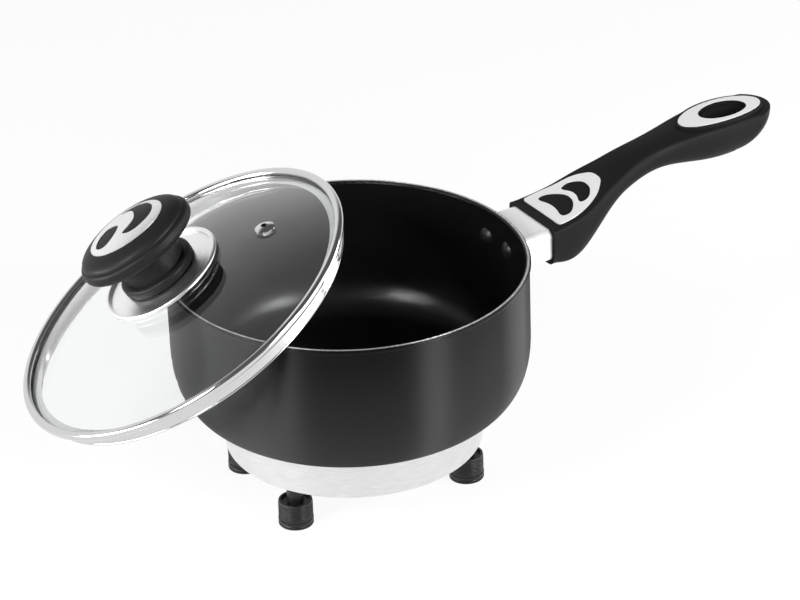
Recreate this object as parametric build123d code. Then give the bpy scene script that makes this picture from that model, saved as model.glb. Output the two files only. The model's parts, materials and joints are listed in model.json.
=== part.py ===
from build123d import *
import math
import os

os.makedirs("parts", exist_ok=True)

# Millimetres. Z is up with the table at 0, the pan's axis is Z, the handle runs along +X.

# gaps between pieces that only touch, and round pieces that slide in
fit = 0.05
slip = 0.15

# bowl
rim_r = 91.0
lip_bead = 1.4
lip_proud = 0.8
rim_top = 120.4
wall_t = 2.0
curve_top = 79.0
curve_w = 23.0
floor_z = 45.4
floor_t = 3.0
bend = 0.644

# base ring, cover and feet
ring_proud = 0.2
ring_taper = 1.8
ring_t = 1.8
ring_bottom = 23.0
ledge_t = 1.5
ledge_w = 3.6
cover_t = 1.5
cover_recess = 1.1
groove_r = 32.0
groove_w = 4.0
groove_t = 0.6
cover_vents = 12
vents_r = 20.0
vent_hole_r = 1.6
foot_inset = 8.4
foot_angles = (26.9, 140.3, 206.9, 320.3)
foot_r = 8.85
foot_step = 3.6
cup_r = 8.5
cup_wall = 1.3
cup_sunk = 1.2
foot_h = 13.7
post_r = 4.2
bolt_r = 2.0

# heating system, stacked downwards from the bowl's floor
plate_inset = 15.2
plate_t = 4.0
element_inset = 10.0
sheath_r = 3.4
sheath_sunk = 2.6
element_gap = 40.0
wool_t = 3.5
clamp_t = 1.5
clamp_margin = 1.2
stud_r = 3.0

# inlet, on the side turned from the camera
inlet_w = 22.0
inlet_h = 12.0
inlet_z = 34.4
inlet_proud = 2.1
socket_w = 17.0
socket_h = 9.0
socket_depth = 10.0
inlet_depth = 16.0
pin_r = 1.18
pin_gap = 8.6
pin_short = 1.5
shank_w = 2.8
shank_h = 0.4

# handle
guard_w = 37.0
guard_h = 17.5
guard_t = 1.0
guard_z = 103.75
guard_reach = 19.1
rivet_y = 9.5
rivet_z = 104.0
rivet_r = 4.9
rivet_h = 2.3
strap_w = 20.0
strap_t = 2.5
strap_z = 98.0
strap_sunk = 22.7
screw_in = 14.7
pad_in = 116.2
pad_half = 26.4
pad_side = 13.2
pad_rise = 1.0
inlay_t = 0.8
inlay_proud = 0.35
inlay_inset = 1.7
hole_in = 118.1
hole_half = 12.6
hole_side = 7.2
tip_in = 145.8

# lid, in its own frame: Z up through the knob, 0 at the top of the band
band_over = 4.5
band_w = 4.4
band_h = 4.4
skirt_play = 0.2
skirt_low = 12.2
sheet = 0.6
hem_r = 0.6
glass_over = 1.0
glass_t = 4.0
glass_top = 18.5
glass_edge = -2.1
vent_x = 54.5
vent_y = -15.0
disc_r = 32.0
disc_bead = 1.2
stem_r = 20.0
stem_step = 4.6
tier_r = 16.4
knob_x = 0.6
cap_low = 36.3
cap_r = 31.5
cap_oval = 0.768
cap_crown = 50.8
swirl_half = 21.0
swirl_side = 15.0

# how the lid leans on the rim
lean_turn = -20.6
lean = 30.27
lean_spin = 9.2
rim_reach = 40.59
lid_reach = 52.47
rest_gap = 0.3


def turned(section, arc=360.0):
    return revolve(Plane.XZ * section, Axis.Z, arc)


def upright(r, low, high, x=0.0, y=0.0):
    return Pos(x, y, (low + high) / 2) * Cylinder(r, high - low)


def block(x0, x1, y0, y1, z0, z1):
    centre = Pos((x0 + x1) / 2, (y0 + y1) / 2, (z0 + z1) / 2)
    return centre * Box(x1 - x0, y1 - y0, z1 - z0)


def spin_points(angles, r):
    return [(r * math.cos(math.radians(a)), r * math.sin(math.radians(a))) for a in angles]


def domed(r, h):
    ball = (r * r + h * h) / (2 * h)
    half = math.asin(r / ball) / 2
    middle = (ball * math.sin(half), h - ball * (1 - math.cos(half)))
    arc = ThreePointArc((0, h), middle, (r, 0))
    return turned(make_face([arc, Line((r, 0), (0, 0)), Line((0, 0), (0, h))]))


# bowl: one turned section, vertical wall, superellipse corner, flat floor, rolled lip
wall_r = rim_r - lip_proud
inner_r = wall_r - wall_t
flat_r = wall_r - curve_w
lip_z = rim_top - lip_bead
inner_floor = floor_z + floor_t


def corner(r_wall, r_flat, z_top, z_flat):
    drop = (z_top - z_flat) * bend
    run = (r_wall - r_flat) * bend
    return Bezier((r_flat, z_flat), (r_flat + run, z_flat), (r_wall, z_top - drop), (r_wall, z_top))


bowl_outline = [
    Line((0, floor_z), (flat_r, floor_z)),
    corner(wall_r, flat_r, curve_top, floor_z),
    Line((wall_r, curve_top), (wall_r, lip_z)),
    Line((wall_r, lip_z), (inner_r, lip_z)),
    Line((inner_r, lip_z), (inner_r, curve_top)),
    corner(inner_r, flat_r - wall_t / 2, curve_top, inner_floor),
    Line((flat_r - wall_t / 2, inner_floor), (0, inner_floor)),
    Line((0, inner_floor), (0, floor_z)),
]
lip = Pos(rim_r - lip_bead, lip_z) * Circle(lip_bead)
pan_bowl = turned(make_face(bowl_outline) + lip)

# rivets: radial, dome inside, shank through wall and bracket, formed tail outside
rivet_turn = math.degrees(math.asin(rivet_y / inner_r))
shank_r = 2.0
flange_t = 1.5
seat_r = math.sqrt(inner_r**2 - rivet_r**2) - fit
peened_r = wall_r + flange_t + 2 * fit
rivet = Pos(seat_r, 0, 0) * Rot(0, -90, 0) * domed(rivet_r, rivet_h)
shank_long = peened_r + 1.2 - seat_r
rivet += Pos(seat_r + shank_long / 2, 0, 0) * Rot(0, 90, 0) * Cylinder(shank_r, shank_long)
rivet += Pos(peened_r + 0.7, 0, 0) * Rot(0, 90, 0) * Cylinder(3.2, 1.2)
rivet_hole = Pos(wall_r, 0, 0) * Rot(0, 90, 0) * Cylinder(shank_r + fit, 12)
rivet_places = [Pos(0, 0, rivet_z) * Rot(0, 0, a) for a in (rivet_turn, -rivet_turn)]
handle_rivets = Compound([place * rivet for place in rivet_places])
for place in rivet_places:
    pan_bowl -= place * rivet_hole

# bracket: flange curved to the wall and a strap into the grip
flange_half = 15.0
flange_low = guard_z - 6.5
flange_high = guard_z + 7.0
grip_start = wall_r + guard_reach
strap_end = grip_start + strap_sunk
screw_x = grip_start + screw_in
screw_r = 1.6
flange = upright(wall_r + fit + flange_t, flange_low, flange_high)
flange -= upright(wall_r + fit, flange_low - 1, flange_high + 1)
flange &= block(0, wall_r + 10, -flange_half, flange_half, flange_low, flange_high)
strap = block(wall_r + 0.8, strap_end, -strap_w / 2, strap_w / 2, strap_z, strap_z + strap_t)
handle_bracket = flange + strap
for place in rivet_places:
    handle_bracket -= place * rivet_hole
handle_bracket -= upright(screw_r + fit, strap_z - 1, strap_z + strap_t + 1, screw_x)

# flame guard: rounded tube from the wall to the grip's mouth
guard_back = 12.0
guard_corner = 4.0
guard_plane = Plane.YZ.offset(wall_r - guard_back) * Pos(0, guard_z)
guard_out = RectangleRounded(guard_w, guard_h, guard_corner)
guard_in = RectangleRounded(guard_w - 2 * guard_t, guard_h - 2 * guard_t, guard_corner - guard_t)
flame_guard = extrude(guard_plane * (guard_out - guard_in), guard_reach - fit + guard_back)
flame_guard -= upright(wall_r + fit, guard_z - 20, guard_z + 20)

# grip: cross sections along X, each with a top arc, two bulging sides and an underside.
# columns: distance from the mouth, half width and height of the crease, height of the crown,
# half width of the bulge, half width and height of the underside
grip_rows = (
    (0.0, 20.7, 113.3, 113.4, 21.1, 18.6, 92.0),
    (7.7, 20.1, 114.0, 114.3, 20.7, 17.8, 90.9),
    (15.7, 19.4, 115.3, 115.8, 20.3, 16.6, 91.2),
    (23.7, 18.2, 117.5, 118.0, 19.4, 14.6, 95.2),
    (31.7, 16.0, 121.0, 121.5, 17.8, 12.4, 102.0),
    (40.7, 13.4, 124.8, 125.4, 15.4, 10.0, 110.0),
    (53.7, 10.4, 129.7, 130.4, 12.6, 7.8, 116.8),
    (68.7, 9.1, 133.5, 134.3, 11.2, 6.8, 120.8),
    (84.7, 10.6, 136.1, 136.9, 12.0, 7.0, 120.7),
    (100.7, 13.4, 137.9, 138.5, 14.4, 8.2, 118.7),
    (118.7, 14.4, 138.7, 139.2, 15.0, 8.8, 118.4),
    (133.7, 13.8, 138.5, 139.0, 14.4, 8.6, 120.4),
    (149.7, 12.6, 137.6, 138.1, 13.4, 8.0, 125.4),
)
crease_round = 2.2


def grip_section(x, w, z_crease, z_crown, bulge, w_low, z_low):
    z_side = z_low + 0.5 * (z_crease - z_low)
    z_turn = z_low + 0.8
    top = ThreePointArc((-w, z_crease), (0, z_crown + 0.02), (w, z_crease))
    right = ThreePointArc((w, z_crease), (bulge, z_side), (w_low, z_turn))
    under = ThreePointArc((w_low, z_turn), (0, z_low), (-w_low, z_turn))
    left = ThreePointArc((-w_low, z_turn), (-bulge, z_side), (-w, z_crease))
    face = make_face([top, right, under, left])
    upper = face.vertices().sort_by(Axis.Y)[2:]
    face = fillet(upper, crease_round)
    lower = [v for v in face.vertices() if v.Y < z_turn + 0.05]
    face = fillet(lower, 0.28 * w_low)
    return Plane.YZ.offset(grip_start + x) * face


handle_grip = loft([grip_section(*row) for row in grip_rows])

# tip: an oval plan, and an egg-shaped end below the crown
tip_x = grip_start + tip_in
plan_long = 16.0
plan_half = 14.6
egg_x = 26.0
egg_y = 18.0
egg_z = 21.0
egg_top = 138.0
straight = block(grip_start - 1, tip_x - plan_long, -30, 30, 60, 160)
tip_plan = Pos(tip_x - plan_long, 0) * Ellipse(plan_long, plan_half)
handle_grip &= straight + Pos(0, 0, 60) * extrude(tip_plan, 100)
egg = Pos(tip_x - egg_x, 0, egg_top) * scale(Sphere(1), by=(egg_x, egg_y, egg_z))
handle_grip &= block(grip_start - 1, tip_x - egg_x, -40, 40, 60, 160) + egg

crown = [(grip_start + row[0], row[3]) for row in grip_rows]


def crown_band(low, high):
    below = Spline([(x, z + low) for x, z in crown])
    above = Spline([(x, z + high) for x, z in crown])
    ends = [Line(below @ 0, above @ 0), Line(below @ 1, above @ 1)]
    return extrude(Plane.XZ * make_face([below, above] + ends), 25, both=True)


def column(plan):
    return Pos(grip_start, 0, 80) * extrude(plan, 80)


pad_place = Pos(pad_in, 0)
hole_place = Pos(hole_in, 0)
lip_w = 1.3
lip_sunk = 1.8
handle_grip += column(pad_place * Ellipse(pad_half, pad_side)) & crown_band(-3.0, pad_rise)
handle_grip -= column(hole_place * Ellipse(hole_half, hole_side))
lip_plan = hole_place * Ellipse(hole_half + lip_w, hole_side + lip_w)
handle_grip -= column(lip_plan) & crown_band(pad_rise - lip_sunk, pad_rise + 5)


# inlays: sheet that follows the crown line, in recesses of the same outline
def window_plan(half, back):
    other_half = [(x, -y) for x, y in reversed(half) if y > 0]
    return make_face(Spline(half + [(back, 0)] + other_half, periodic=True))


shield_half = [(5.4, 17.0), (11.8, 17.0), (19.7, 15.9), (26.3, 14.1), (32.1, 11.6), (37.2, 7.0), (39.6, 0)]
shield_side = Spline(shield_half, tangents=[(1, 0), (0, -1)])
shield_end = Line(shield_half[0], (shield_half[0][0], -shield_half[0][1]))
shield = make_face([shield_side, mirror(shield_side, Plane.XZ), shield_end])
shield = fillet(shield.vertices().group_by(Axis.X)[0], 2.0)
near_right = [(22.7, 0), (22.2, 3.7), (20.6, 7.0), (18.2, 10.1), (15.5, 12.1)]
near_left = [(13.2, 12.4), (11.3, 11.4), (10.9, 9.6), (11.7, 6.0)]
far_right = [(33.2, 0), (32.5, 4.2), (30.5, 7.6), (28.2, 9.7)]
far_left = [(25.7, 10.1), (24.0, 9.2), (23.7, 7.6), (24.8, 4.4)]
shield_plan = shield - window_plan(near_right + near_left, 12.5) - window_plan(far_right + far_left, 25.6)
ring_plan = pad_place * Ellipse(pad_half - inlay_inset, pad_side - inlay_inset)
ring_plan -= hole_place * Ellipse(hole_half + lip_w + 0.1, hole_side + lip_w + 0.1)
handle_shield_inlay = column(shield_plan) & crown_band(-inlay_t, inlay_proud)
handle_ring_inlay = column(ring_plan) & crown_band(pad_rise - inlay_t, pad_rise + inlay_proud)
handle_grip -= column(shield_plan) & crown_band(-inlay_t - fit, 6)
handle_grip -= column(ring_plan) & crown_band(pad_rise - inlay_t - fit, pad_rise + 6)

# grip's slot for the strap, and the screw from below
seat_z = strap_z - 4.2
screw_head_r = 3.5
slot_half = strap_w / 2 + slip
slot_top = strap_z + strap_t + slip
handle_grip -= block(grip_start - 1, strap_end + 1, -slot_half, slot_half, strap_z - slip, slot_top)
handle_grip -= upright(screw_r + slip, seat_z - 5, strap_z + 6, screw_x)
handle_grip -= upright(screw_head_r + 0.3, seat_z - 14, seat_z, screw_x)
handle_screw = upright(screw_r, seat_z - 1, strap_z + 5, screw_x)
handle_screw += Pos(screw_x, 0, seat_z - fit) * Rot(180, 0, 0) * domed(screw_head_r, 2.2)
handle_screw -= block(screw_x - 2.2, screw_x + 2.2, -0.4, 0.4, seat_z - 3, seat_z - 1.4)
handle_screw -= block(screw_x - 0.4, screw_x + 0.4, -2.2, 2.2, seat_z - 3, seat_z - 1.4)

# base ring: tapered channel clamped between the floor and the cover
ring_top = floor_z - fit
ring_top_r = flat_r - ring_proud
ring_low_r = ring_top_r - ring_taper
ledge_low = ring_bottom + cover_recess + cover_t
ledge_in = ring_low_r - ledge_w
foot_spread = ring_low_r - foot_inset


def ring_out(z):
    return ring_low_r + ring_taper * (z - ring_bottom) / (ring_top - ring_bottom)


ring_points = (
    (ring_low_r, ring_bottom),
    (ring_top_r, ring_top),
    (ledge_in, ring_top),
    (ledge_in, ring_top - ledge_t),
    (ring_out(ring_top - ledge_t) - ring_t, ring_top - ledge_t),
    (ring_out(ledge_low + ledge_t) - ring_t, ledge_low + ledge_t),
    (ledge_in, ledge_low + ledge_t),
    (ledge_in, ledge_low),
    (ring_out(ledge_low) - ring_t, ledge_low),
    (ring_low_r - ring_t, ring_bottom),
)
base_ring = turned(make_face(Polyline(*ring_points, close=True)))
outer_edge = base_ring.edges().filter_by(GeomType.CIRCLE).group_by(Axis.Z)[0]
base_ring = fillet(outer_edge, 0.5)
inlet_low = inlet_z - inlet_h / 2
inlet_high = inlet_z + inlet_h / 2
window = block(-inlet_w / 2 - fit, inlet_w / 2 + fit, 0, rim_r, inlet_low - fit, inlet_high + fit)
base_ring -= window

# cover with a pressed groove, holes for the posts and the stud
cover_z = ring_bottom + cover_recess
cover_r = ring_low_r - ring_t - slip
cover_top = ledge_low - fit
base_cover = upright(cover_r, cover_z, cover_top)
groove = upright(groove_r + groove_w / 2, cover_z - 1, cover_z + groove_t)
base_cover -= groove - upright(groove_r - groove_w / 2, cover_z - 1, cover_z + groove_t)
base_cover -= upright(stud_r + slip, cover_z - 1, cover_top + 1)
foot_xy = spin_points(foot_angles, foot_spread)
for x, y in foot_xy:
    base_cover -= upright(bolt_r + slip, cover_z - 1, cover_top + 1, x, y)
vent_angles = [360 / cover_vents * step for step in range(cover_vents)]
for x, y in spin_points(vent_angles, vents_r):
    base_cover -= upright(vent_hole_r, cover_z - 1, cover_top + 1, x, y)

# feet: grooved rubber on a post whose thread goes through the cover to a nut
spigot_r = 3.0
spigot_low = 5.0
foot_section = Pos(foot_r / 2, foot_step / 2) * Rectangle(foot_r, foot_step)
foot_section += Pos(cup_r / 2, foot_h / 2) * Rectangle(cup_r, foot_h)
foot_section -= Pos(foot_r, foot_step / 2) * Circle(0.6)
cup_floor = foot_h - cup_sunk
foot = turned(foot_section)
foot = fillet(foot.edges().filter_by(GeomType.CIRCLE).group_by(Axis.Z)[-1], 0.5)
foot = fillet(foot.edges().filter_by(GeomType.CIRCLE).group_by(Axis.Z)[0], 0.6)
foot -= upright(cup_r - cup_wall, cup_floor, foot_h + 1)
foot -= upright(spigot_r + fit, spigot_low, foot_h + 1)
nut_h = 3.2
post = upright(post_r, cup_floor + fit, cover_z - fit)
post += upright(spigot_r, spigot_low + fit, cup_floor + 1)
post += upright(bolt_r, cover_z - 1, cover_top + nut_h + 1.5)
nut = extrude(Pos(0, 0, cover_top + fit) * RegularPolygon(3.5, 6, major_radius=False), nut_h)
nut -= upright(bolt_r + fit, cover_top - 1, cover_top + nut_h + 2)
foot_nuts = Compound([Pos(x, y) * nut for x, y in foot_xy])

# heating stack under the floor
plate_r = flat_r - plate_inset
element_r = plate_r - element_inset
plate_top = floor_z - fit
plate_low = plate_top - plate_t
sheath_z = plate_low - sheath_r + sheath_sunk
heat_plate = upright(plate_r, plate_low, plate_top)
heat_plate = fillet(heat_plate.edges().group_by(Axis.Z)[0], 1.0)
heat_plate -= turned(Pos(element_r, sheath_z) * Circle(sheath_r + fit))
coil = turned(Pos(element_r, sheath_z) * Circle(sheath_r), 360 - element_gap)
coil_start = 90 + element_gap / 2
heating_element = Rot(0, 0, coil_start) * coil
wool_top = sheath_z - sheath_r - fit
wool_low = wool_top - wool_t
clamp_top = wool_low - fit
clamp_low = clamp_top - clamp_t
clamp_r = element_r + sheath_r + clamp_margin
wire_r = 1.0
wire_z = cover_top + 3.2
terminal_z = wire_z + wire_r + fit
lead_in = 3.0
tail_r = 1.5
cold_angles = (coil_start + lead_in, coil_start - element_gap - lead_in)
cold_xy = spin_points(cold_angles, element_r)
for x, y in cold_xy:
    heating_element += upright(tail_r, terminal_z, sheath_z, x, y)
stat_y = 20.0
stat_r = 8.0
stat_side = 4.2
fuse_y = -20.0
fuse_long = 14.0
fuse_lead_r = 0.5
thermostat = upright(stat_r, clamp_low - 0.6, plate_low - fit, 0, stat_y)
thermostat = fillet(thermostat.edges().group_by(Axis.Z)[0], 0.8)
for side in (-1, 1):
    tab_x = side * stat_side
    thermostat += block(tab_x - 0.8, tab_x + 0.8, stat_y - 2, stat_y + 2, terminal_z, clamp_low)
insulation_disc = upright(clamp_r, wool_low, wool_top)
clamp_plate = upright(clamp_r, clamp_low, clamp_top)
openings = upright(stat_r + slip, clamp_low - 1, wool_top + 1, 0, stat_y)
openings += upright(stud_r + slip, clamp_low - 1, wool_top + 1)
for x, y in cold_xy:
    openings += upright(tail_r + slip, clamp_low - 1, wool_top + 1, x, y)
notch_y = ring_out(inlet_z) + inlet_proud - inlet_depth - 3.0
openings += block(-inlet_w / 2, inlet_w / 2, notch_y, rim_r, clamp_low - 1, wool_top + 1)
insulation_disc -= openings
clamp_plate -= openings
fuse_r = (plate_low - wool_top - 2 * fit) / 2
fuse_place = Pos(0, fuse_y, wool_top + fit + fuse_r) * Rot(0, 90, 0)
thermal_fuse = fuse_place * Cylinder(fuse_r, fuse_long) + fuse_place * Cylinder(fuse_lead_r, fuse_long + 12)

# stud, spacer, washer and nut that clamp the stack and the ring
washer_t = 1.2
main_nut_h = 4.0
base_stud = upright(stud_r, cover_z - washer_t - main_nut_h - 1.2, plate_low - fit)
base_spacer = upright(5.5, cover_top + fit, clamp_low - fit) - upright(stud_r + slip, 0, floor_z)
base_washer = upright(8.0, cover_z - fit - washer_t, cover_z - fit) - upright(stud_r + slip, 0, floor_z)
nut_low = cover_z - 2 * fit - washer_t - main_nut_h
base_nut = extrude(Pos(0, 0, nut_low) * RegularPolygon(5.0, 6, major_radius=False), main_nut_h)
base_nut -= upright(stud_r + fit, 0, floor_z)

# inlet: moulded body through the ring's window, bezel outside, two pins in a rounded socket
face_y = ring_out(inlet_z) + inlet_proud
back_y = face_y - inlet_depth
socket_floor = face_y - socket_depth
bezel_half = inlet_w / 2 + 5
cone_points = (
    (0, ring_bottom),
    (ring_low_r + fit, ring_bottom),
    (ring_top_r + fit, ring_top),
    (0, ring_top),
)
ring_cone = turned(make_face(Polyline(*cone_points, close=True)))
bezel_plan = RectangleRounded(2 * bezel_half, inlet_h + 2.6, 5.0)
bezel = extrude(Plane.XZ.offset(-face_y) * Pos(0, inlet_z) * bezel_plan, 8) - ring_cone
inlet_housing = bezel + block(-inlet_w / 2, inlet_w / 2, back_y, face_y - 1, inlet_low, inlet_high)
socket_plan = RectangleRounded(socket_w, socket_h, socket_h / 2 - 0.05)
inlet_housing -= extrude(Plane.XZ.offset(-face_y) * Pos(0, inlet_z) * socket_plan, socket_depth)
tail_y = back_y - 1.6


def along_y(r, y0, y1, x):
    return Pos(x, (y0 + y1) / 2, inlet_z) * Rot(90, 0, 0) * Cylinder(r, y1 - y0)


def square_bar(width, y0, y1, x):
    return block(x - width / 2, x + width / 2, y0, y1, inlet_z - width / 2, inlet_z + width / 2)


pins = []
for x in (-pin_gap / 2, pin_gap / 2):
    pin = along_y(pin_r, socket_floor, face_y - pin_short, x)
    pin += square_bar(shank_w, tail_y, socket_floor + shank_h, x)
    pins.append(pin + block(x - 1, x + 1, tail_y - 0.8, tail_y + 0.8, terminal_z, inlet_z))
    inlet_housing -= square_bar(shank_w + 2 * fit, back_y - 1, socket_floor + 1, x)
inlet_pins = Compound(pins)
screw_places = [Pos(x, face_y, inlet_z) * Rot(-90, 0, 0) for x in (-bezel_half + 2.6, bezel_half - 2.6)]
small_screw = Pos(0, 0, -0.6) * domed(1.9, 0.9) + Pos(0, 0, -4.6) * Cylinder(1.0, 9)
small_hole = Pos(0, 0, 0.4) * Cylinder(1.95, 2.1) + Pos(0, 0, -5) * Cylinder(1.0 + fit, 12)
inlet_screws = Compound([place * small_screw for place in screw_places])
for place in screw_places:
    inlet_housing -= place * small_hole
    base_ring -= place * small_hole

# lead wires under the clamp plate, touching each terminal's end
def wire(points, bends):
    path = FilletPolyline(*[(x, y, wire_z) for x, y in points], radius=bends)
    section = Plane(origin=path @ 0, z_dir=path % 0) * Circle(wire_r)
    return sweep(section, path=path)


pin_a = (-pin_gap / 2, tail_y)
pin_b = (pin_gap / 2, tail_y)
back_loop = [(-stat_side, stat_y), (-15, 6), (-7, -15), (14, -13), (22, 9), cold_xy[1]]
lead_wires = Compound(
    [
        wire([pin_a, (pin_a[0] - 2, tail_y - 7), cold_xy[0]], [4.0]),
        wire([pin_b, (7.0, tail_y - 13), (stat_side, stat_y)], [12.0]),
        wire(back_loop, [6.0, 6.0, 6.0, 8.0]),
    ]
)


# lid pieces in the lid's frame
skirt_r = inner_r - skirt_play
glass_r = skirt_r + glass_over
band_r = glass_r + band_over


def glass_z(r):
    return glass_top - (glass_top - glass_edge) * (r / glass_r) ** 2


def glass_arc(r, rise=0.0):
    return ThreePointArc((0, glass_z(0) + rise), (r / 2, glass_z(r / 2) + rise), (r, glass_z(r) + rise))


def between_arcs(r, low, high):
    outer = Line((r, glass_z(r) + low), (r, glass_z(r) + high))
    middle = Line((0, glass_top + high), (0, glass_top + low))
    return make_face([glass_arc(r, low), glass_arc(r, high), outer, middle])


lid_glass = turned(between_arcs(glass_r, -glass_t, 0.0))
under_edge = glass_edge - glass_t - fit
web_r = glass_r + fit
bead_mid = band_r - band_w / 2
shelf_in = skirt_r - 4.0
shelf_w = web_r + sheet - shelf_in
web_h = sheet - under_edge - 1.0
band = Pos(bead_mid, -band_h / 2) * RectangleRounded(band_w, band_h, 1.9)
band -= Pos(bead_mid + 0.1, -band_h / 2 - 1.2) * Rectangle(2.2, 3.6)
band += Pos(web_r + sheet / 2, under_edge - sheet + web_h / 2) * Rectangle(sheet, web_h)
band += Pos(shelf_in + shelf_w / 2, under_edge - sheet / 2) * Rectangle(shelf_w, sheet)
hem_z = hem_r - skirt_low
skirt_mid = skirt_r - sheet / 2
band += Pos(skirt_mid, (under_edge - sheet + hem_z) / 2) * Rectangle(sheet, under_edge - hem_z)
band += Pos(skirt_mid, hem_z) * Circle(hem_r)
lid_rim = turned(band)

vent_from = math.hypot(vent_x, vent_y)
vent_slope = math.degrees(math.atan(2 * (glass_top - glass_edge) * vent_from / glass_r**2))
vent_turn = Rot(0, 0, math.degrees(math.atan2(vent_y, vent_x)))
vent_place = vent_turn * Pos(vent_from, 0, glass_z(vent_from)) * Rot(0, vent_slope, 0)
vent_low = -glass_t - 0.15
vent_solid = Pos(0, 0, 0.1) * domed(5.0, 1.5) + upright(3.1, vent_low - 0.9, 0.5)
vent_solid += upright(4.6, vent_low - 0.9, vent_low)
vent_solid -= upright(1.6, -10, 10)
steam_vent = vent_place * vent_solid
lid_glass -= vent_place * upright(3.1 + fit, -10, 10)

knob_hole = 2.1
disc_seat = disc_r - disc_bead
rolled_edge = Pos(disc_seat, glass_z(disc_seat) + disc_bead + fit * 2) * Circle(disc_bead)
knob_disc = turned(between_arcs(disc_seat, fit, fit + sheet) + rolled_edge)
stem_low = glass_top + sheet + 2 * fit
step_z = stem_low + stem_step
cap_pocket = 1.0
stem_top = cap_low + cap_pocket - fit
stem_mid = (stem_low + stem_top) / 2
flange_part = Pos(stem_r / 2, stem_low + stem_step / 2) * Rectangle(stem_r, stem_step)
stem = turned(flange_part + Pos(tier_r / 2, stem_mid) * Rectangle(tier_r, stem_top - stem_low))
stem_edges = stem.edges().filter_by(GeomType.CIRCLE).group_by(Axis.Z)
rounded = [e for e in stem_edges[1] if e.radius > stem_r - 1]
stem = fillet(rounded, 1.9)

groove_z = cap_crown - 7.3
dome_r = cap_r - 1.9
cap_side = [
    Line((0, cap_low), (cap_r - 2.2, cap_low)),
    ThreePointArc((cap_r - 2.2, cap_low), (cap_r - 0.4, cap_low + 1.3), (cap_r, cap_low + 4.2)),
    ThreePointArc((cap_r, cap_low + 4.2), (cap_r - 0.4, cap_low + 6.0), (dome_r + 0.4, groove_z - 0.35)),
    Line((dome_r + 0.4, groove_z - 0.35), (dome_r - 0.6, groove_z)),
    Line((dome_r - 0.6, groove_z), (0, groove_z)),
    Line((0, groove_z), (0, cap_low)),
]
round_cap = turned(make_face(cap_side))


def dome_shell(grow):
    ball = scale(Sphere(1), by=(dome_r + grow, (dome_r + grow) * cap_oval, cap_crown - groove_z + grow))
    half = 2 * cap_r
    return Pos(0, 0, groove_z) * ball & block(-half, half, -half, half, groove_z - 0.1, 2 * cap_crown)


knob_cap = scale(round_cap, by=(1, cap_oval, 1)) + dome_shell(0.0)
knob_cap -= upright(tier_r + slip, cap_low - 1, cap_low + cap_pocket)
lens_far = [(-2.9, 4.6), (-7.8, 7.6), (-14.2, 5.4), (-17.6, -1.0)]
lens_near = [(-14.5, -3.9), (-9.8, -3.3), (-4.7, -0.2)]
comma_head = [(-2.6, -6.6), (1.3, -8.9), (7.7, -8.3), (13.6, -5.3), (16.9, 1.5), (15.3, 7.4)]
comma_tail = [(9, 11.8), (2, 13), (6.4, 9.4), (7.2, 3.4), (3.6, -2.2)]
lens = Spline(lens_far + lens_near, periodic=True)
comma = Spline(comma_head + comma_tail, periodic=True)
swirl_plan = Rot(0, 0, -3) * Ellipse(swirl_half, swirl_side) - make_face(lens) - make_face(comma)
swirl_column = Pos(0, 0, groove_z) * extrude(swirl_plan, 20)
swirl_sunk = 0.6
knob_inlay = swirl_column & (dome_shell(inlay_proud) - dome_shell(-swirl_sunk))
knob_cap -= swirl_column & (dome_shell(2.0) - dome_shell(-swirl_sunk - fit))
screw_top = cap_low + 8.0
bore = upright(knob_hole, 0, screw_top + 0.6)
lid_glass -= upright(knob_hole + slip, 0, glass_top + 1, knob_x)
knob_disc -= bore
stem -= bore
knob_cap -= bore
seal_r = 8.0
seal_t = 0.8
under_t = 0.8
seal_top = glass_z(seal_r + knob_x) - glass_t - 2 * fit
knob_seal = upright(seal_r, seal_top - seal_t, seal_top) - bore
washer_top = seal_top - seal_t - fit
knob_washer = upright(7.0, washer_top - under_t, washer_top) - bore
head_top = washer_top - under_t - fit
knob_screw = upright(knob_hole - fit, head_top - 0.5, screw_top)
knob_screw += Pos(0, 0, head_top) * Rot(180, 0, 0) * domed(4.0, 1.6)
knob_screw -= block(-2.4, 2.4, -0.4, 0.4, head_top - 3, head_top - 1.0)
knob_screw -= block(-0.4, 0.4, -2.4, 2.4, head_top - 3, head_top - 1.0)
off_centre = Pos(knob_x, 0, 0)

# the lid is moved until its hem is one gap off the rim's lip at both crossings
lid_turn = Pos(0, 0, 0) * Rot(0, 0, lean_turn) * Rot(0, -lean, 0) * Rot(0, 0, lean_spin)
lid_axes = Plane(lid_turn)
lip_core = rim_r - lip_bead
reach = lip_bead + hem_r + rest_gap


def nearest(centre, first):
    best = None
    for step in range(1800):
        a = math.radians(first + step / 10)
        hem = centre + lid_axes.x_dir * (skirt_mid * math.cos(a)) + lid_axes.y_dir * (skirt_mid * math.sin(a))
        hem = hem + lid_axes.z_dir * hem_z
        flat = Vector(hem.X, hem.Y, 0)
        away = hem - flat.normalized() * lip_core - Vector(0, 0, lip_z)
        if best is None or away.length < best.length:
            best = away
    return best


# the hem's plane cuts the lip's plane along one line, inside both circles by the two reaches
rim_line = lip_core - rim_reach
hem_line = skirt_mid - lid_reach
hem_out = rim_line + hem_line * math.cos(math.radians(lean))
hem_down = hem_line * math.sin(math.radians(lean))
outward = Vector(-1, 0, 0).rotate(Axis.Z, lean_turn)
lid_centre = outward * hem_out + Vector(0, 0, lip_z - hem_down) - lid_axes.z_dir * hem_z
for _ in range(12):
    for first in (0, 180):
        away = nearest(lid_centre, first)
        lid_centre = lid_centre + away.normalized() * (reach - away.length)
lid_place = Pos(lid_centre.X, lid_centre.Y, lid_centre.Z) * lid_turn

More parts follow.
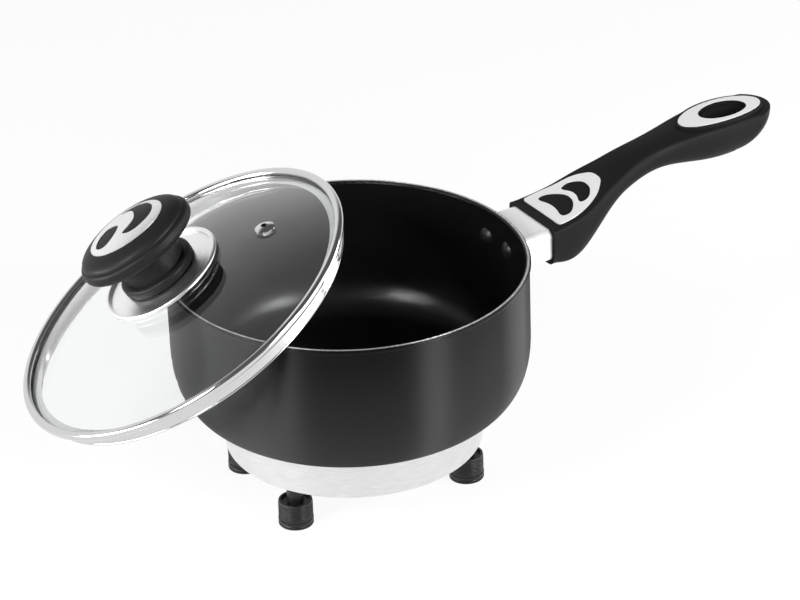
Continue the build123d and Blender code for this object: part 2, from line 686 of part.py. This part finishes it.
nodes = {
    "pan_bowl": pan_bowl,
    "handle_rivets": handle_rivets,
    "handle_bracket": handle_bracket,
    "flame_guard": flame_guard,
    "handle_grip": handle_grip,
    "handle_shield_inlay": handle_shield_inlay,
    "handle_ring_inlay": handle_ring_inlay,
    "handle_screw": handle_screw,
    "base_ring": base_ring,
    "base_cover": base_cover,
    "foot_nuts": foot_nuts,
    "heat_plate": heat_plate,
    "heating_element": heating_element,
    "insulation_disc": insulation_disc,
    "clamp_plate": clamp_plate,
    "thermostat": thermostat,
    "thermal_fuse": thermal_fuse,
    "lead_wires": lead_wires,
    "base_stud": base_stud,
    "base_spacer": base_spacer,
    "base_washer": base_washer,
    "base_nut": base_nut,
    "inlet_housing": inlet_housing,
    "inlet_pins": inlet_pins,
    "inlet_screws": inlet_screws,
    "lid_glass": lid_place * lid_glass,
    "lid_rim": lid_place * lid_rim,
    "steam_vent": lid_place * steam_vent,
    "knob_disc": lid_place * off_centre * knob_disc,
    "knob_stem": lid_place * off_centre * stem,
    "knob_cap": lid_place * off_centre * knob_cap,
    "knob_inlay": lid_place * off_centre * knob_inlay,
    "knob_seal": lid_place * off_centre * knob_seal,
    "knob_washer": lid_place * off_centre * knob_washer,
    "knob_screw": lid_place * off_centre * knob_screw,
}
for number, (x, y) in enumerate(foot_xy, start=1):
    nodes[f"rubber_foot_{number}"] = Pos(x, y) * foot
    nodes[f"foot_post_{number}"] = Pos(x, y) * post

for node, shape in nodes.items():
    export_step(shape, f"parts/{node}.step")
    box = shape.bounding_box()
    print(node, round(shape.volume), [round(v, 2) for v in (*box.min, *box.max)])
print("lid centre", lid_centre)
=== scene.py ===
import bpy
import json
import math
from mathutils import Matrix, Vector


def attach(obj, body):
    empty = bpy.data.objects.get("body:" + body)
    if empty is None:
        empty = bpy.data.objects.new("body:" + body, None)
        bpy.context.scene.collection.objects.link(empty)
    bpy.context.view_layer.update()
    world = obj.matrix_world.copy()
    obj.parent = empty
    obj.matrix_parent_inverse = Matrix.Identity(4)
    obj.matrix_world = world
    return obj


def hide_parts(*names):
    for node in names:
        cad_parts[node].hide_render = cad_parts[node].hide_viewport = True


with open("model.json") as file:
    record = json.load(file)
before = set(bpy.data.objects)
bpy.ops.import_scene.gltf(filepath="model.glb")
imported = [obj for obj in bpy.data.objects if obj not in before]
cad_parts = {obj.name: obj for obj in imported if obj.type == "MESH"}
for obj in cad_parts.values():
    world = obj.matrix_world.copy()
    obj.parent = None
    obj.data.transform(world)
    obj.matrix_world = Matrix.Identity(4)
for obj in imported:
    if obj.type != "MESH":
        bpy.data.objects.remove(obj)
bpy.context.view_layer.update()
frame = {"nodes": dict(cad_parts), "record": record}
nodes = frame["nodes"]
scene = bpy.context.scene
print("frame loaded:", len(nodes), "nodes")

# camera: the photograph's view, turned so that the handle lies along +X; metres and radians, lens in mm
cameraView = {
    "place": (-1.0183, -1.7359, 1.1922),
    "heading": -0.54305,
    "down": 0.498,
    "roll": -0.032,
    "lens": 206.7,
    "sensor": 36,
    "reach": 20,
}


def makeCamera(view):
    heading = view["heading"]
    down = view["down"]
    level = math.cos(down)
    ahead = Vector((-math.sin(heading) * level, math.cos(heading) * level, -math.sin(down)))
    right = Vector((math.cos(heading), math.sin(heading), 0))
    up = right.cross(ahead)
    lean = Matrix.Rotation(-view["roll"], 3, ahead)
    right = lean @ right
    up = lean @ up
    turn = Matrix((right, up, -ahead)).transposed().to_4x4()
    camera = bpy.data.objects.new("camera", bpy.data.cameras.new("camera"))
    camera.matrix_world = Matrix.Translation(view["place"]) @ turn
    camera.data.lens = view["lens"]
    camera.data.sensor_width = view["sensor"]
    camera.data.clip_end = view["reach"]
    scene.collection.objects.link(camera)
    scene.camera = camera


makeCamera(cameraView)
print("camera set")

# the lid's own frame: Z up through the knob, 0 at the top of the band; metres and degrees
lidFrame = {"centre": (-0.0798316, 0.0300068, 0.11126), "turn": -20.6, "lean": 30.27, "spin": 9.2}


def lidMatrix(look):
    turn = Matrix.Rotation(math.radians(look["turn"]), 4, "Z")
    lean = Matrix.Rotation(math.radians(-look["lean"]), 4, "Y")
    spin = Matrix.Rotation(math.radians(look["spin"]), 4, "Z")
    return Matrix.Translation(look["centre"]) @ turn @ lean @ spin


lidPlace = lidMatrix(lidFrame)


# node helpers
def newMaterial(name):
    made = bpy.data.materials.new(name)
    made.use_nodes = True
    tree = made.node_tree
    return made, tree, tree.nodes["Principled BSDF"]


def setInput(tree, socket, value):
    if isinstance(value, bpy.types.NodeSocket):
        tree.links.new(value, socket)
    else:
        socket.default_value = value


def addNode(tree, kind, settings=None, **inputs):
    node = tree.nodes.new(kind)
    for key, value in (settings or {}).items():
        setattr(node, key, value)
    for key, value in inputs.items():
        setInput(tree, node.inputs[key.replace("_", " ")], value)
    return node


def mathNode(tree, operation, a, b=0.0):
    node = addNode(tree, "ShaderNodeMath", {"operation": operation})
    setInput(tree, node.inputs[0], a)
    setInput(tree, node.inputs[1], b)
    return node.outputs[0]


def objectPoint(tree):
    return addNode(tree, "ShaderNodeTexCoord").outputs["Object"]


def lidPoint(tree):
    back = {"vector_type": "TEXTURE"}
    place = lidPlace.to_translation()
    turn = lidPlace.to_euler()
    node = addNode(tree, "ShaderNodeMapping", back, Vector=objectPoint(tree), Location=place, Rotation=turn)
    return node.outputs[0]


def stretched(tree, point, size):
    return addNode(tree, "ShaderNodeMapping", Vector=point, Scale=size).outputs[0]


def splitPoint(tree, point):
    return addNode(tree, "ShaderNodeSeparateXYZ", Vector=point).outputs


def axisDistance(tree, x, y):
    square = mathNode(tree, "ADD", mathNode(tree, "MULTIPLY", x, x), mathNode(tree, "MULTIPLY", y, y))
    return mathNode(tree, "SQRT", square)


def grain(tree, point, size=1.0, detail=3.0):
    return addNode(tree, "ShaderNodeTexNoise", Vector=point, Scale=size, Detail=detail).outputs["Fac"]


# fine rings or upright lines about the Z axis of the point that is given
def turnedGrain(tree, point, look):
    x, y, z = splitPoint(tree, point)
    radius = mathNode(tree, "MULTIPLY", axisDistance(tree, x, y), look["fine"])
    angle = mathNode(tree, "MULTIPLY", mathNode(tree, "ARCTAN2", y, x), look["around"])
    height = mathNode(tree, "MULTIPLY", z, look["fine"])
    lines = addNode(tree, "ShaderNodeCombineXYZ", X=radius, Y=angle, Z=height).outputs[0]
    return grain(tree, lines, detail=2.0)


# a noise's values lie mostly between 0.3 and 0.7
def ranged(tree, value, low, high, start=0.3, end=0.7):
    node = addNode(tree, "ShaderNodeMapRange", Value=value)
    node.inputs["From Min"].default_value = start
    node.inputs["From Max"].default_value = end
    node.inputs["To Min"].default_value = low
    node.inputs["To Max"].default_value = high
    return node.outputs["Result"]


# a Mix node has sockets 2 and 3 for plain values, and 6 and 7 for colours
def mixedValue(tree, share, a, b):
    node = addNode(tree, "ShaderNodeMix")
    for index, value in ((0, share), (2, a), (3, b)):
        setInput(tree, node.inputs[index], value)
    return node.outputs[0]


def blended(tree, value, colourA, colourB):
    node = addNode(tree, "ShaderNodeMix", {"data_type": "RGBA"})
    tree.links.new(value, node.inputs[0])
    for socket, colour in ((node.inputs[6], colourA), (node.inputs[7], colourB)):
        setInput(tree, socket, colour if isinstance(colour, bpy.types.NodeSocket) else (*colour, 1))
    return node.outputs[2]


bumpDepth = {"coat": 0.00005, "plastic": 0.00002, "metal": 0.00001}


def bumped(tree, shader, value, kind, strength):
    node = addNode(tree, "ShaderNodeBump", Height=value, Strength=strength, Distance=bumpDepth[kind])
    tree.links.new(node.outputs["Normal"], shader.inputs["Normal"])


# the bowl: a satin coat brushed upright outside, with a painted sheen that turns it lighter towards the
# wall's foot, a grainier one inside, and bare metal along the lip's top whose lighter line is partly a
# painted highlight
outsideCoat = {
    "dark": (0.001, 0.001, 0.0011),  # the two ends of the grain
    "light": (0.003, 0.003, 0.0033),
    "low": (0.018, 0.018, 0.0185),  # painted sheen: the lighter colour it turns to at the wall's foot, standing in for the floor's reflection there
    "rough": (0.46, 0.52),
    "specular": 0.25,
    "turned": 1.0,  # how far the highlights stretch
    "speck": 900,
    "lines": 0.8,  # the share of lines in the grain, the rest is speckle
    "fine": 2600,
    "around": 3,
    "bump": 0.12,
}
insideCoat = {
    "dark": (0.003, 0.003, 0.003),
    "light": (0.008, 0.008, 0.008),
    # the plain tone that the inside turns to near the floor, through the same blend that paints the
    # outside's sheen
    "low": (0.005, 0.005, 0.005),
    "rough": (0.28, 0.33),
    "specular": 0.36,
    "turned": 0.0,
    "speck": 1700,
    "lines": 0.1,
    "fine": 2600,
    "around": 3,
    "bump": 0.9,
}
coatTurn = 0.25  # a quarter turn, from the tangent round the axis
footSheenRise = {"high": 0.112, "low": 0.038}  # the heights between which the painted sheen at the foot gives way to the coat's own colour
# bare metal along the lip's top; its lighter colour also stands in for the lip's highlight, so it is partly
# a painted highlight
lipBareHighlight = {
    "middle": 0.0896,  # the radius of the bare line, partly a painted highlight, and half its width
    "half": 0.0007,
    "core": 0.4,  # the share of it that is fully bare
    "low": 0.12,  # the height where it starts, and how soon it is full
    "rise": 0.0002,
    "wearAndGlint": (0.5, 1.0),
    "wearAndGlintSpeck": (0.4, 0.6),
    "metal": 0.8,
    "bareAndHighlight": (0.75, 0.75, 0.75),
}


def lipBareHighlightMask(tree, radius, height, speck):
    side = mathNode(tree, "ABSOLUTE", mathNode(tree, "SUBTRACT", radius, lipBareHighlight["middle"]))
    near = ranged(tree, side, 1.0, 0.0, lipBareHighlight["half"] * lipBareHighlight["core"], lipBareHighlight["half"])
    high = ranged(tree, height, 0.0, 1.0, lipBareHighlight["low"], lipBareHighlight["low"] + lipBareHighlight["rise"])
    wearAndGlint = ranged(tree, speck, *lipBareHighlight["wearAndGlint"], *lipBareHighlight["wearAndGlintSpeck"])
    return mathNode(tree, "MULTIPLY", mathNode(tree, "MULTIPLY", near, high), wearAndGlint)


def makeBowlCoat(name, look):
    made, tree, shader = newMaterial(name)
    point = objectPoint(tree)
    x, y, height = splitPoint(tree, point)
    speck = grain(tree, point, look["speck"], detail=2.0)
    relief = mixedValue(tree, look["lines"], speck, turnedGrain(tree, point, look))
    mask = lipBareHighlightMask(tree, axisDistance(tree, x, y), height, speck)
    coat = blended(tree, relief, look["dark"], look["light"])
    # painted sheen: towards the wall's foot the coat turns to its lighter foot colour
    footSheenBlend = ranged(tree, height, 1.0, 0.0, footSheenRise["low"], footSheenRise["high"])
    coat = blended(tree, footSheenBlend, coat, look["low"])
    # the lip's bare line, partly a painted highlight, is laid over the coat
    tree.links.new(blended(tree, mask, coat, lipBareHighlight["bareAndHighlight"]), shader.inputs["Base Color"])
    tree.links.new(ranged(tree, speck, *look["rough"]), shader.inputs["Roughness"])
    tree.links.new(mathNode(tree, "MULTIPLY", mask, lipBareHighlight["metal"]), shader.inputs["Metallic"])
    shader.inputs["Specular IOR Level"].default_value = look["specular"]
    shader.inputs["Anisotropic"].default_value = look["turned"]
    shader.inputs["Anisotropic Rotation"].default_value = coatTurn
    around = addNode(tree, "ShaderNodeTangent", {"direction_type": "RADIAL", "axis": "Z"})
    tree.links.new(around.outputs[0], shader.inputs["Tangent"])
    bumped(tree, shader, relief, "coat", look["bump"])
    return made


# dark plastics and rubber
gripPlastic = {
    "dark": (0.009, 0.009, 0.0095),
    "light": (0.014, 0.014, 0.015),
    "rough": (0.38, 0.46),
    "specular": 0.04,
    "speck": 2200,
    "bump": 0.3,
}
knobPlastic = {
    "dark": (0.008, 0.008, 0.0085),
    "light": (0.014, 0.014, 0.015),
    "rough": (0.38, 0.46),
    "specular": 0.12,
    "speck": 1200,
    "bump": 0.06,
}
footRubber = {
    "dark": (0.003, 0.003, 0.003),
    "light": (0.008, 0.008, 0.008),
    "rough": (0.3, 0.45),
    "specular": 0.4,
    "speck": 1800,
    "bump": 0.3,
}
postPlastic = {
    "dark": (0.004, 0.004, 0.0045),
    "light": (0.008, 0.008, 0.009),
    "rough": (0.3, 0.4),
    "specular": 0.4,
    "speck": 1500,
    "bump": 0.06,
}
rivetCoat = {
    "dark": (0.006, 0.006, 0.0065),
    "light": (0.012, 0.012, 0.013),
    "rough": (0.36, 0.44),
    "specular": 0.5,
    "speck": 1500,
    "bump": 0.06,
}


def makeDarkPlastic(name, look):
    made, tree, shader = newMaterial(name)
    speck = grain(tree, objectPoint(tree), look["speck"], detail=2.0)
    tree.links.new(blended(tree, speck, look["dark"], look["light"]), shader.inputs["Base Color"])
    tree.links.new(ranged(tree, speck, *look["rough"]), shader.inputs["Roughness"])
    shader.inputs["Specular IOR Level"].default_value = look["specular"]
    bumped(tree, shader, speck, "plastic", look["bump"])
    return made


# metals: turned ones carry rings about their own axis, flat ones a straight grain
ringMetal = {
    "colour": (0.86, 0.86, 0.86),
    "shade": (0.6, 0.6, 0.61),
    "rough": (0.28, 0.4),
    "fine": 2200,
    "around": 9,
    "metal": 1.0,
    "bump": 0.04,
}
discSteel = {
    "colour": (0.93, 0.93, 0.93),
    "shade": (0.8, 0.8, 0.81),
    "rough": (0.26, 0.36),
    "fine": 2600,
    "around": 2,
    "metal": 1.0,
    "bump": 0.04,
}
bandChrome = {
    "colour": (0.68, 0.68, 0.69),
    "shade": (0.58, 0.58, 0.59),
    "rough": (0.09, 0.15),
    "fine": 1800,
    "around": 2,
    "metal": 1.0,
    "bump": 0.04,
}
plateSteel = {
    "colour": (0.95, 0.95, 0.95),
    "shade": (0.88, 0.88, 0.88),
    "rough": (0.16, 0.24),
    "grain": (60, 900, 900),
    "metal": 0.4,
    "bump": 0.04,
}
inlaySteel = {
    "colour": (0.95, 0.95, 0.95),
    "shade": (0.82, 0.82, 0.82),
    "rough": (0.3, 0.42),
    "grain": (1900, 1900, 1900),
    "metal": 0.3,
    "bump": 0.4,
}
knobSteel = {
    "colour": (0.78, 0.78, 0.78),
    "shade": (0.66, 0.66, 0.66),
    "rough": (0.26, 0.36),
    "grain": (200, 2600, 200),
    "metal": 0.8,
    "bump": 0.04,
}
zincPlate = {
    "colour": (0.6, 0.61, 0.62),
    "shade": (0.5, 0.51, 0.52),
    "rough": (0.3, 0.45),
    "grain": (300, 300, 300),
    "metal": 1.0,
    "bump": 0.04,
}


def finishMetal(tree, shader, line, look):
    shader.inputs["Metallic"].default_value = look["metal"]
    tree.links.new(blended(tree, line, look["shade"], look["colour"]), shader.inputs["Base Color"])
    tree.links.new(ranged(tree, line, *look["rough"]), shader.inputs["Roughness"])
    bumped(tree, shader, line, "metal", look["bump"])


def makeTurnedMetal(name, look, pointOf):
    made, tree, shader = newMaterial(name)
    finishMetal(tree, shader, turnedGrain(tree, pointOf(tree), look), look)
    return made


def makeFlatMetal(name, look, pointOf):
    made, tree, shader = newMaterial(name)
    finishMetal(tree, shader, grain(tree, stretched(tree, pointOf(tree), look["grain"])), look)
    return made


# clear glass with faint smudges
lidGlass = {
    "colour": (0.94, 0.95, 0.95),
    "rough": (0.01, 0.03),
    "ior": 1.5,
    "specular": 0.2,
    "smudge": 30,
    "detail": 4.0,
}


def makeGlass(name, look):
    made, tree, shader = newMaterial(name)
    smudge = grain(tree, lidPoint(tree), look["smudge"], look["detail"])
    shader.inputs["Base Color"].default_value = (*look["colour"], 1)
    tree.links.new(ranged(tree, smudge, *look["rough"]), shader.inputs["Roughness"])
    shader.inputs["IOR"].default_value = look["ior"]
    shader.inputs["Transmission Weight"].default_value = 1.0
    shader.inputs["Specular IOR Level"].default_value = look["specular"]
    return made


# what is closed in or below: plain speckled finishes
plainLook = {
    "woolBoard": {"colour": (0.8, 0.79, 0.74), "rough": 0.9, "metal": 0.0},
    "pinBrass": {"colour": (0.75, 0.6, 0.3), "rough": 0.3, "metal": 1.0},
    "elementSheath": {"colour": (0.3, 0.29, 0.28), "rough": 0.45, "metal": 1.0},
    "wireSleeve": {"colour": (0.7, 0.66, 0.6), "rough": 0.6, "metal": 0.0},
    "deviceCan": {"colour": (0.62, 0.62, 0.63), "rough": 0.35, "metal": 1.0},
    "sealRubber": {"colour": (0.02, 0.02, 0.02), "rough": 0.6, "metal": 0.0},
}
plainSpeck = {"size": 900, "shade": 0.8, "spread": 0.06}


def makePlain(name):
    look = plainLook[name]
    made, tree, shader = newMaterial(name)
    speck = grain(tree, objectPoint(tree), plainSpeck["size"])
    shade = tuple(plainSpeck["shade"] * c for c in look["colour"])
    rough = (look["rough"] - plainSpeck["spread"], look["rough"] + plainSpeck["spread"])
    tree.links.new(blended(tree, speck, shade, look["colour"]), shader.inputs["Base Color"])
    tree.links.new(ranged(tree, speck, *rough), shader.inputs["Roughness"])
    shader.inputs["Metallic"].default_value = look["metal"]
    return made


# one finish for each material slot of the record, and three more for pieces that differ from their slot
finishes = {
    "bowl": makeBowlCoat("outsideCoat", outsideCoat),
    "grip": makeDarkPlastic("gripPlastic", gripPlastic),
    "knob": makeDarkPlastic("knobPlastic", knobPlastic),
    "foot": makeDarkPlastic("footRubber", footRubber),
    "post": makeDarkPlastic("postPlastic", postPlastic),
    "inlet": makeDarkPlastic("inletPlastic", postPlastic),
    "rivet": makeDarkPlastic("rivetCoat", rivetCoat),
    "bright": makeTurnedMetal("ringMetal", ringMetal, objectPoint),
    "steel": makeFlatMetal("plateSteel", plateSteel, objectPoint),
    "inlay": makeFlatMetal("inlaySteel", inlaySteel, objectPoint),
    "knobInlay": makeFlatMetal("knobSteel", knobSteel, lidPoint),
    "disc": makeTurnedMetal("discSteel", discSteel, lidPoint),
    "band": makeTurnedMetal("bandChrome", bandChrome, lidPoint),
    "zinc": makeFlatMetal("zincPlate", zincPlate, objectPoint),
    "glass": makeGlass("lidGlass", lidGlass),
    "wool": makePlain("woolBoard"),
    "pins": makePlain("pinBrass"),
    "sheath": makePlain("elementSheath"),
    "wire": makePlain("wireSleeve"),
    "device": makePlain("deviceCan"),
    "seal": makePlain("sealRubber"),
}
ownFinish = {
    "handle_shield_inlay": "inlay",
    "handle_ring_inlay": "inlay",
    "knob_inlay": "knobInlay",
    "knob_disc": "disc",
}
slotOf = {part["node"]: part["material_slot"] for part in frame["record"]["subparts"]}
for name, piece in nodes.items():
    finish = finishes[ownFinish.get(name, slotOf[name])]
    piece.data.materials.clear()
    piece.data.materials.append(finish)
    for face in piece.data.polygons:
        face.material_index = 0

# the bowl's inner faces, inside the lip and above the floor, take the inner coat
bowlInside = {"radius": 0.0885, "floor": 0.0482, "upward": 0.5}
bowl = nodes["pan_bowl"].data
bowl.materials.append(makeBowlCoat("insideCoat", insideCoat))
for face in bowl.polygons:
    middle = face.center
    within = math.hypot(middle.x, middle.y) < bowlInside["radius"] and middle.z > bowlInside["floor"]
    inward = face.normal.x * middle.x + face.normal.y * middle.y < 0
    if within and (inward or face.normal.z > bowlInside["upward"]):
        face.material_index = 1
print("materials given to the CAD pieces")

# the lid's band: bead, groove, web, shelf, skirt and rolled hem, turned round the lid's own axis
# every place is a radius and a height in the lid's frame, in metres; the arcs are in degrees
bandTurn = {
    "steps": 288,
    "bendSteps": 9,
    "hemSteps": 27,
    "grooveSteps": 4,
    "bead": (0.0911, 0.0916, 0.00189),
    "beadLevels": (-0.0019, -0.0025),
    "groove": (0.0903, 0.0925, -0.0016),
    "web": (0.0890, 0.0897),
    "shelf": (0.0840, -0.00615, -0.00675),
    "skirt": (0.0874, 0.0880),
    "hem": (0.0877, -0.0116, 0.0006),
    "hemArc": (60, -240),
    "sharp": 40,
}


def arcPoints(centre, radius, start, end, count):
    points = []
    for step in range(count + 1):
        turn = math.radians(start + (end - start) * step / count)
        points.append((centre[0] + radius * math.cos(turn), centre[1] + radius * math.sin(turn)))
    return points


def bandProfile(look):
    inner, outer, bend = look["bead"]
    high, low = look["beadLevels"]
    left, right, roof = look["groove"]
    webIn, webOut = look["web"]
    shelfIn, shelfTop, shelfLow = look["shelf"]
    skirtIn, skirtOut = look["skirt"]
    hemMid, hemLow, hemBend = look["hem"]
    count = look["bendSteps"]
    outEnd = math.degrees(-math.acos((right - outer) / bend))  # where the bead's outside meets the groove
    inStart = math.degrees(-math.acos((left - inner) / bend))  # and its inside
    inEnd = math.degrees(-math.acos((webOut - inner) / bend))  # where that inside meets the web
    profile = arcPoints((inner, high), bend, 180, 90, count)
    profile += arcPoints((outer, high), bend, 90, 0, count)
    profile += arcPoints((outer, low), bend, 0, outEnd, count)
    profile += [(right, roof), (left, roof)]
    profile += arcPoints((inner, low), bend, inStart, inEnd, look["grooveSteps"])
    profile += [(webOut, shelfLow), (skirtOut, shelfLow)]
    profile += arcPoints((hemMid, hemLow), hemBend, *look["hemArc"], look["hemSteps"])
    profile += [(skirtIn, shelfLow), (shelfIn, shelfLow), (shelfIn, shelfTop), (webIn, shelfTop)]
    return profile


def makeTurned(name, profile, look, place, body, slot):
    points = []
    faces = []
    steps = look["steps"]
    across = len(profile)
    for step in range(steps):
        turn = 2 * math.pi * step / steps
        points += [place @ Vector((r * math.cos(turn), r * math.sin(turn), z)) for r, z in profile]
    for step in range(steps):
        here = step * across
        there = (step + 1) % steps * across
        for index in range(across):
            after = (index + 1) % across
            faces.append((here + index, here + after, there + after, there + index))
    mesh = bpy.data.meshes.new(name)
    mesh.from_pydata(points, [], faces)
    mesh.validate()
    for face in mesh.polygons:
        face.use_smooth = True
    mesh.set_sharp_from_angle(angle=math.radians(look["sharp"]))
    piece = bpy.data.objects.new(name, mesh)
    scene.collection.objects.link(piece)
    mesh.materials.append(finishes[slot])
    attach(piece, body)
    return piece


lidBand = makeTurned("lidBand", bandProfile(bandTurn), bandTurn, lidPlace, "lid", "band")
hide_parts("lid_rim")
print("lid band turned with", len(lidBand.data.polygons), "faces")

# ribs round the rubber feet: one ring, stacked up each foot by a node tree; metres
footNumbers = (1, 2, 3, 4)
footRibs = {
    "Rib Count": 10,
    "Rib Rise": 0.00078,
    "Rib Low": 0.0051,
    "Rib Radius": 0.00849,
    "Rib Depth": 0.00021,
    "Rib Sides": 8,
    "Segments": 72,
}


def footMiddle(number):
    corners = [Vector(corner) for corner in nodes[f"rubber_foot_{number}"].bound_box]
    return (corners[0] + corners[6]) / 2 * Vector((1, 1, 0))  # 0 and 6 are opposite corners of the box


def makeRibTree(material):
    tree = bpy.data.node_groups.new("footRibs", "GeometryNodeTree")
    face = tree.interface
    face.new_socket("Geometry", in_out="INPUT", socket_type="NodeSocketGeometry")
    for name, value in footRibs.items():
        kind = "NodeSocketInt" if isinstance(value, int) else "NodeSocketFloat"
        face.new_socket(name, in_out="INPUT", socket_type=kind)
    face.new_socket("Geometry", in_out="OUTPUT", socket_type="NodeSocketGeometry")
    given = tree.nodes.new("NodeGroupInput").outputs
    rise = addNode(tree, "ShaderNodeCombineXYZ", Z=given["Rib Rise"]).outputs[0]
    low = addNode(tree, "ShaderNodeCombineXYZ", Z=given["Rib Low"]).outputs[0]
    levels = addNode(tree, "GeometryNodeMeshLine", Count=given["Rib Count"], Start_Location=low, Offset=rise)
    circle = "GeometryNodeCurvePrimitiveCircle"
    path = addNode(tree, circle, Resolution=given["Segments"], Radius=given["Rib Radius"])
    bead = addNode(tree, circle, Resolution=given["Rib Sides"], Radius=given["Rib Depth"])
    ring = addNode(tree, "GeometryNodeCurveToMesh", Curve=path.outputs[0], Profile_Curve=bead.outputs[0])
    onPoints = "GeometryNodeInstanceOnPoints"
    stack = addNode(tree, onPoints, Points=levels.outputs[0], Instance=ring.outputs[0])
    feet = addNode(tree, onPoints, Points=given["Geometry"], Instance=stack.outputs[0])
    solid = addNode(tree, "GeometryNodeRealizeInstances", Geometry=feet.outputs[0])
    smooth = addNode(tree, "GeometryNodeSetShadeSmooth", Geometry=solid.outputs[0])
    coated = addNode(tree, "GeometryNodeSetMaterial", Geometry=smooth.outputs[0])
    coated.inputs["Material"].default_value = material
    tree.links.new(coated.outputs[0], tree.nodes.new("NodeGroupOutput").inputs[0])
    return tree


def growFromTree(name, points, tree, values, body):
    seed = bpy.data.meshes.new(name + "Seed")
    seed.from_pydata(points, [], [])
    holder = bpy.data.objects.new(name + "Holder", seed)
    scene.collection.objects.link(holder)
    grower = holder.modifiers.new("grow", "NODES")
    grower.node_group = tree
    for item in tree.interface.items_tree:
        if item.in_out == "INPUT" and item.name in values:
            grower[item.identifier] = values[item.name]
    evaluated = holder.evaluated_get(bpy.context.evaluated_depsgraph_get())
    grown = bpy.data.meshes.new_from_object(evaluated)
    holder.modifiers.clear()
    bpy.data.objects.remove(holder)
    piece = bpy.data.objects.new(name, grown)
    scene.collection.objects.link(piece)
    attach(piece, body)
    print(name, "made with", len(grown.polygons), "faces")


ribTree = makeRibTree(finishes["foot"])
growFromTree("footRibs", [footMiddle(number) for number in footNumbers], ribTree, footRibs, "pan")

# floor: white to the eye, with the object's own soft shadow left in it
floorLook = {"size": 6.0, "colour": (0.9, 0.9, 0.9), "rough": 0.9, "white": 1.0, "glow": 0.88}


def makeFloor(look):
    half = look["size"] / 2
    mesh = bpy.data.meshes.new("floor")
    corners = [(-half, -half, 0), (half, -half, 0), (half, half, 0), (-half, half, 0)]
    mesh.from_pydata(corners, [], [(0, 1, 2, 3)])
    floor = bpy.data.objects.new("floor", mesh)
    scene.collection.objects.link(floor)
    made, tree, shader = newMaterial("floorWhite")
    shader.inputs["Base Color"].default_value = (*look["colour"], 1)
    shader.inputs["Roughness"].default_value = look["rough"]
    shader.inputs["Specular IOR Level"].default_value = 0.0
    glow = addNode(tree, "ShaderNodeEmission", Strength=look["white"])
    rays = addNode(tree, "ShaderNodeLightPath").outputs
    seen = mathNode(tree, "MAXIMUM", rays["Is Camera Ray"], rays["Is Transmission Ray"])
    seen = mathNode(tree, "MAXIMUM", seen, rays["Is Glossy Ray"])
    mix = addNode(tree, "ShaderNodeMixShader")
    tree.links.new(mathNode(tree, "MULTIPLY", seen, look["glow"]), mix.inputs[0])
    tree.links.new(shader.outputs[0], mix.inputs[1])
    tree.links.new(glow.outputs[0], mix.inputs[2])
    tree.links.new(mix.outputs[0], tree.nodes["Material Output"].inputs["Surface"])
    mesh.materials.append(made)


makeFloor(floorLook)

# light: a pale room, bright on the side that "white" points to and dark on the other, with two soft lamps
# and three low ones that light the bowl's sides; turn and lift in degrees, power in watts
room = {"white": (-0.15, 0.93, -0.33), "dark": 0.12, "bright": 1.0, "start": 0.27, "end": 0.62, "seen": 1.0}
lamps = {
    "leftSoft": {"turn": -165, "lift": 33, "away": 1.5, "size": (0.4, 0.4), "power": 16},
    "rightSoft": {"turn": -69, "lift": 25, "away": 1.5, "size": (0.4, 0.4), "power": 17},
    "leftFoot": {"turn": 170, "lift": 3, "away": 0.85, "size": (0.7, 0.2), "power": 9},
    "rightFoot": {"turn": -52, "lift": 15, "away": 0.85, "size": (0.9, 0.5), "power": 5},
    "edgeFoot": {"turn": -6, "lift": 3, "away": 0.85, "size": (0.4, 0.2), "power": 3},
}
lampAim = Vector((0, 0, 0.08))
plainWhite = (1, 1, 1, 1)


# the camera, and what is seen through the glass, get an even white; all else gets the room's own light
def makeRoom(look):
    world = bpy.data.worlds.new("room")
    world.use_nodes = True
    scene.world = world
    tree = world.node_tree
    lit = tree.nodes["Background"]
    lit.inputs["Color"].default_value = plainWhite
    way = addNode(tree, "ShaderNodeTexCoord").outputs["Generated"]
    toward = addNode(tree, "ShaderNodeVectorMath", {"operation": "DOT_PRODUCT"})
    setInput(tree, toward.inputs[0], way)
    setInput(tree, toward.inputs[1], look["white"])
    level = ranged(tree, toward.outputs["Value"], look["dark"], look["bright"], look["start"], look["end"])
    tree.links.new(level, lit.inputs["Strength"])
    white = addNode(tree, "ShaderNodeBackground", Color=plainWhite, Strength=look["seen"])
    rays = addNode(tree, "ShaderNodeLightPath").outputs
    seen = mathNode(tree, "MAXIMUM", rays["Is Camera Ray"], rays["Is Transmission Ray"])
    mix = addNode(tree, "ShaderNodeMixShader")
    tree.links.new(seen, mix.inputs[0])
    tree.links.new(lit.outputs[0], mix.inputs[1])
    tree.links.new(white.outputs[0], mix.inputs[2])
    tree.links.new(mix.outputs[0], tree.nodes["World Output"].inputs["Surface"])


def makeLamp(name, look):
    data = bpy.data.lights.new(name, "AREA")
    data.shape = "RECTANGLE"
    data.size, data.size_y = look["size"]
    data.energy = look["power"]
    lamp = bpy.data.objects.new(name, data)
    turn = math.radians(look["turn"])
    lift = math.radians(look["lift"])
    way = Vector((math.cos(turn) * math.cos(lift), math.sin(turn) * math.cos(lift), math.sin(lift)))
    lamp.rotation_euler = (-way).to_track_quat("-Z", "Y").to_euler()
    lamp.location = lampAim + way * look["away"]
    scene.collection.objects.link(lamp)


makeRoom(room)
for name, look in lamps.items():
    makeLamp(name, look)
scene.view_settings.view_transform = "Standard"
print("stage and light made")
